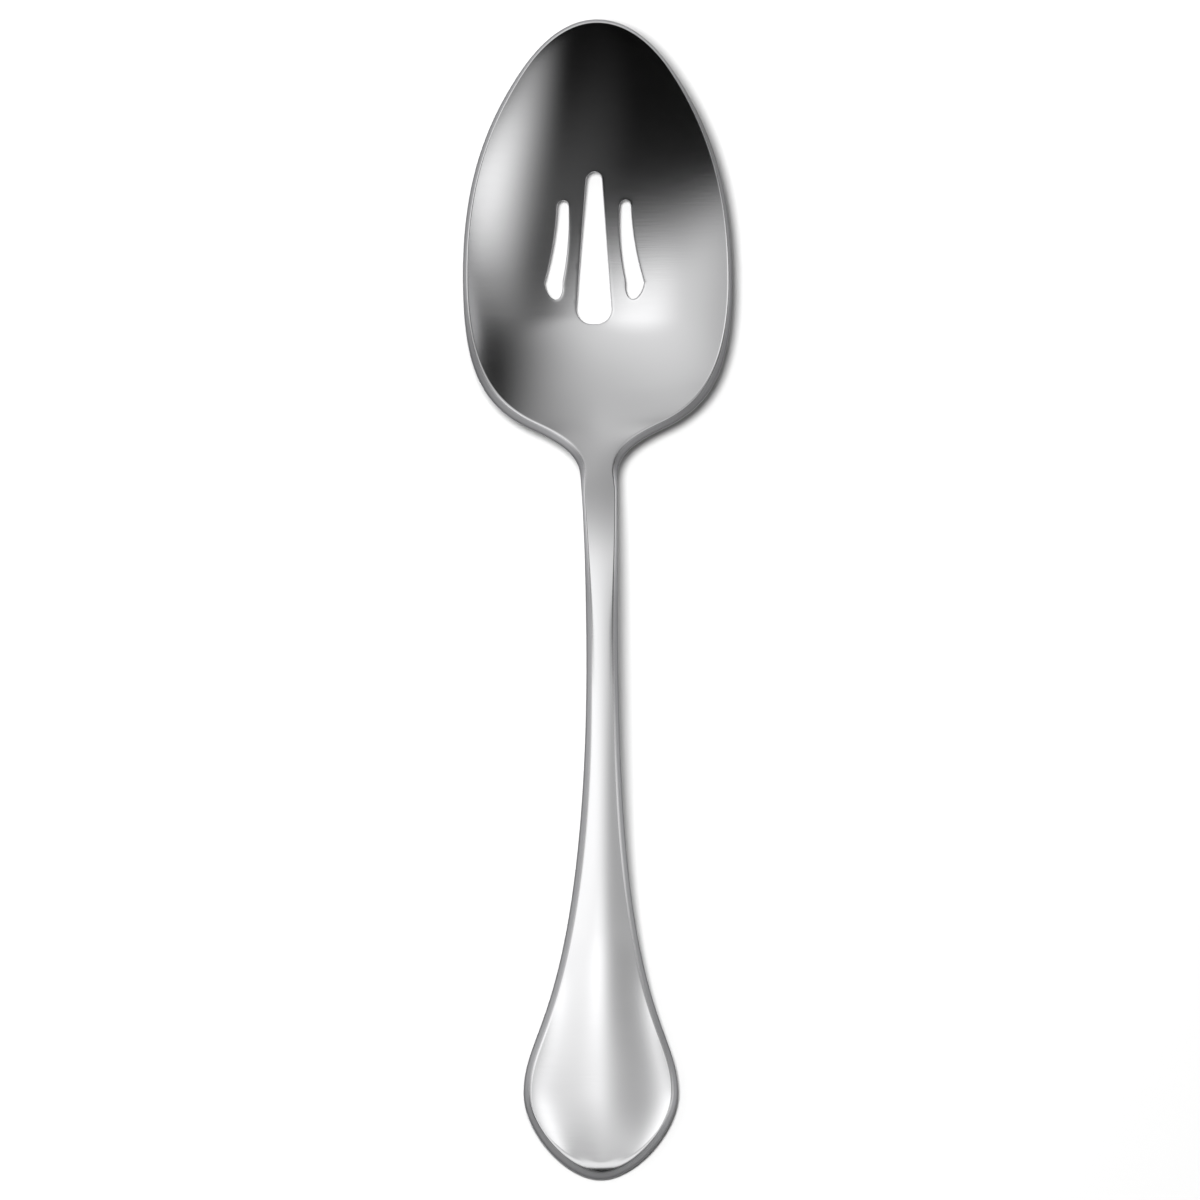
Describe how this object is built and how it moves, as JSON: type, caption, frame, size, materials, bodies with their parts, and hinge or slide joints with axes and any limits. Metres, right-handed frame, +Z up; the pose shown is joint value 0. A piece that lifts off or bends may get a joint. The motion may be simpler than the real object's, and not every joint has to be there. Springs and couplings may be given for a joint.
{
  "type": "slotted serving spoon",
  "caption": "One-piece stainless steel serving spoon: egg-shaped bowl pierced by three drain slots, slim crowned neck, ridged handle widening to a teardrop end.",
  "frame": {"origin": "centre of the bounding box's base: on the surface the spoon lies on, under the middle of its length", "axes": "+Z up out of the bowl, +Y along the spoon from the handle's end to the bowl's tip, +X to the right of the handle"},
  "size_m": [0.0502, 0.216, 0.0183],
  "materials": {
    "stainless_steel": "polished stainless steel with a fine satin grain"
  },
  "bodies": {
    "root": {"spoon": "stainless_steel"}
  },
  "joints": []
}
